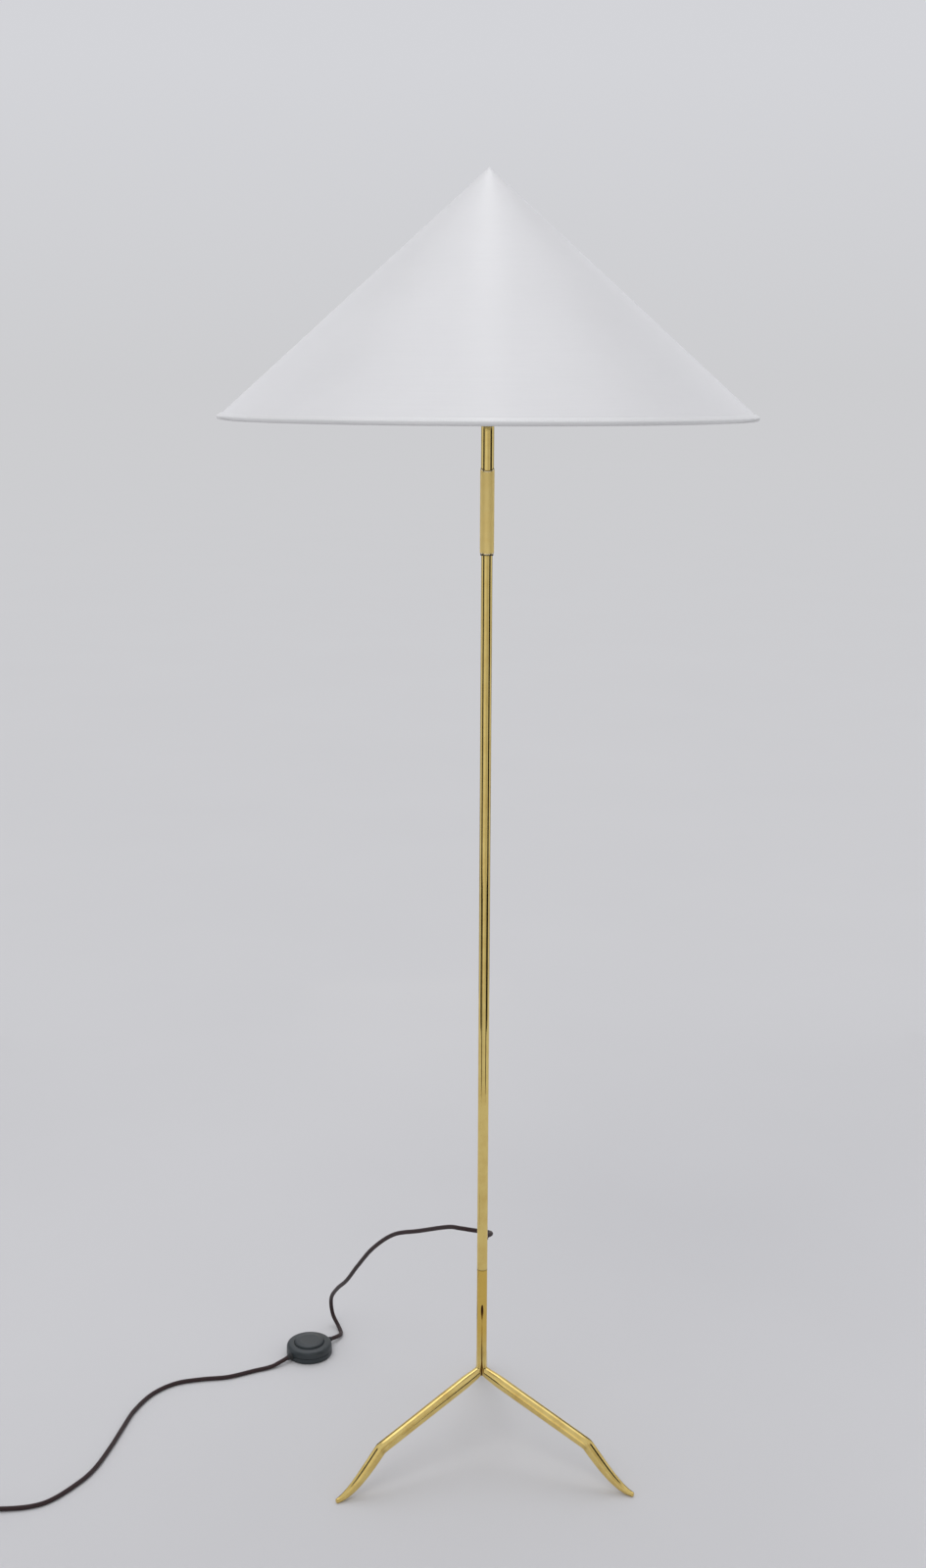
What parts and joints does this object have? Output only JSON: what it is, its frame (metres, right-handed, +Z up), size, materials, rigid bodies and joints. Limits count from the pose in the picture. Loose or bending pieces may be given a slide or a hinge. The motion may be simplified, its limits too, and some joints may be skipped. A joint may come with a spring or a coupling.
{
  "type": "tripod floor lamp",
  "caption": "Slim brass floor lamp on a crow's-foot tripod, with a telescopic pole, a wide cone fabric shade and a round foot switch on a textile mains cord.",
  "frame": {"origin": "on the pole's axis at floor level, under the middle of the shade", "axes": "+Z up along the pole; -Y is the front, between the two front legs; the third leg points along +Y"},
  "size_m": [1.0891, 0.6792, 1.681],
  "materials": {
    "polished_brass": "polished, lightly aged",
    "bright_brass": "polished",
    "satin_brass": "satin, semi-matte",
    "nylon": "matte",
    "shade_fabric": "fine woven, off-white",
    "hem_tape": "rolled tape",
    "white_wire": "white paint",
    "textile_cord": "braided, dark maroon",
    "inner_flex": "matte",
    "switch_plastic": "fine-grained matte, anthracite",
    "rubber": "matte",
    "steel": "nickel plated",
    "bakelite": "moulded",
    "ceramic": "unglazed white",
    "opal_glass": "opal, satin",
    "bulb_metal": "bright",
    "black_glass": "moulded"
  },
  "bodies": {
    "base": {"leg_left": "polished_brass", "leg_right": "polished_brass", "leg_back": "polished_brass", "base_neck": "polished_brass", "lower_pole": "polished_brass", "pole_guide_bush": "nylon", "cord_grommet": "rubber", "inner_flex_pole": "inner_flex", "switch_base": "switch_plastic", "switch_cover": "switch_plastic", "switch_mechanism": "bakelite", "switch_terminal_in": "bright_brass", "switch_terminal_out": "bright_brass", "switch_screw_1": "steel", "switch_screw_2": "steel", "switch_gland_in": "rubber", "switch_gland_out": "rubber", "switch_spring": "steel", "cord_pole_to_switch": "textile_cord", "cord_switch_to_coil": "textile_cord", "cord_coil": "textile_cord", "coil_tie": "rubber", "cord_coil_to_plug": "textile_cord", "plug_relief": "switch_plastic", "plug_body": "switch_plastic", "plug_pin_1": "steel", "plug_pin_2": "steel"},
    "slide_bush": {"friction_bush": "nylon"},
    "stem": {"upper_stem": "polished_brass", "grip_sleeve": "satin_brass", "grip_ring_lower": "bright_brass", "grip_ring_upper": "bright_brass", "stem_top_plug": "polished_brass", "holder_nipple": "steel", "inner_flex_stem": "inner_flex", "holder_lock_nut": "steel", "holder_cap": "polished_brass", "holder_body": "polished_brass", "holder_shade_ring": "polished_brass", "holder_core": "ceramic", "holder_thread_shell": "bright_brass", "spider_hub": "white_wire", "spider_arm_1": "white_wire", "spider_arm_2": "white_wire", "spider_arm_3": "white_wire", "spider_ring": "white_wire", "rim_wire": "white_wire", "shade_cover": "shade_fabric", "shade_hem": "hem_tape"},
    "contact": {"holder_contact": "bright_brass"},
    "bulb": {"bulb_glass": "opal_glass", "bulb_cap": "bulb_metal", "bulb_insulator": "black_glass", "bulb_tip": "bulb_metal"},
    "button": {"switch_button": "switch_plastic", "switch_plunger": "bakelite"}
  },
  "joints": [
    {"name": "height_slide", "type": "slide", "parent": "base", "child": "slide_bush", "axis": [0, 0, 1], "range_m": [-0.11, 0.04], "deforming": ["inner_flex_stem"]},
    {"name": "stem_swivel", "type": "hinge", "parent": "slide_bush", "child": "stem", "pos_m": [0, 0, 1.24], "axis": [0, 0, 1], "range_deg": [-170, 170]},
    {"name": "bulb_rise", "type": "slide", "parent": "stem", "child": "contact", "axis": [0, 0, 1], "range_m": [0, 0.0036]},
    {"name": "bulb_turn", "type": "hinge", "parent": "contact", "child": "bulb", "pos_m": [0, 0, 1.49], "axis": [0, 0, 1], "range_deg": [0, 360]},
    {"name": "button_press", "type": "slide", "parent": "base", "child": "button", "axis": [0, 0, -1], "range_m": [0, 0.003], "stiffness_N_per_m": 700, "springref_m": -0.002, "deforming": ["switch_spring"]}
  ],
  "couplings": [
    {"joint": "bulb_turn", "follows": "bulb_rise", "rad_per_m": 1745.3}
  ]
}
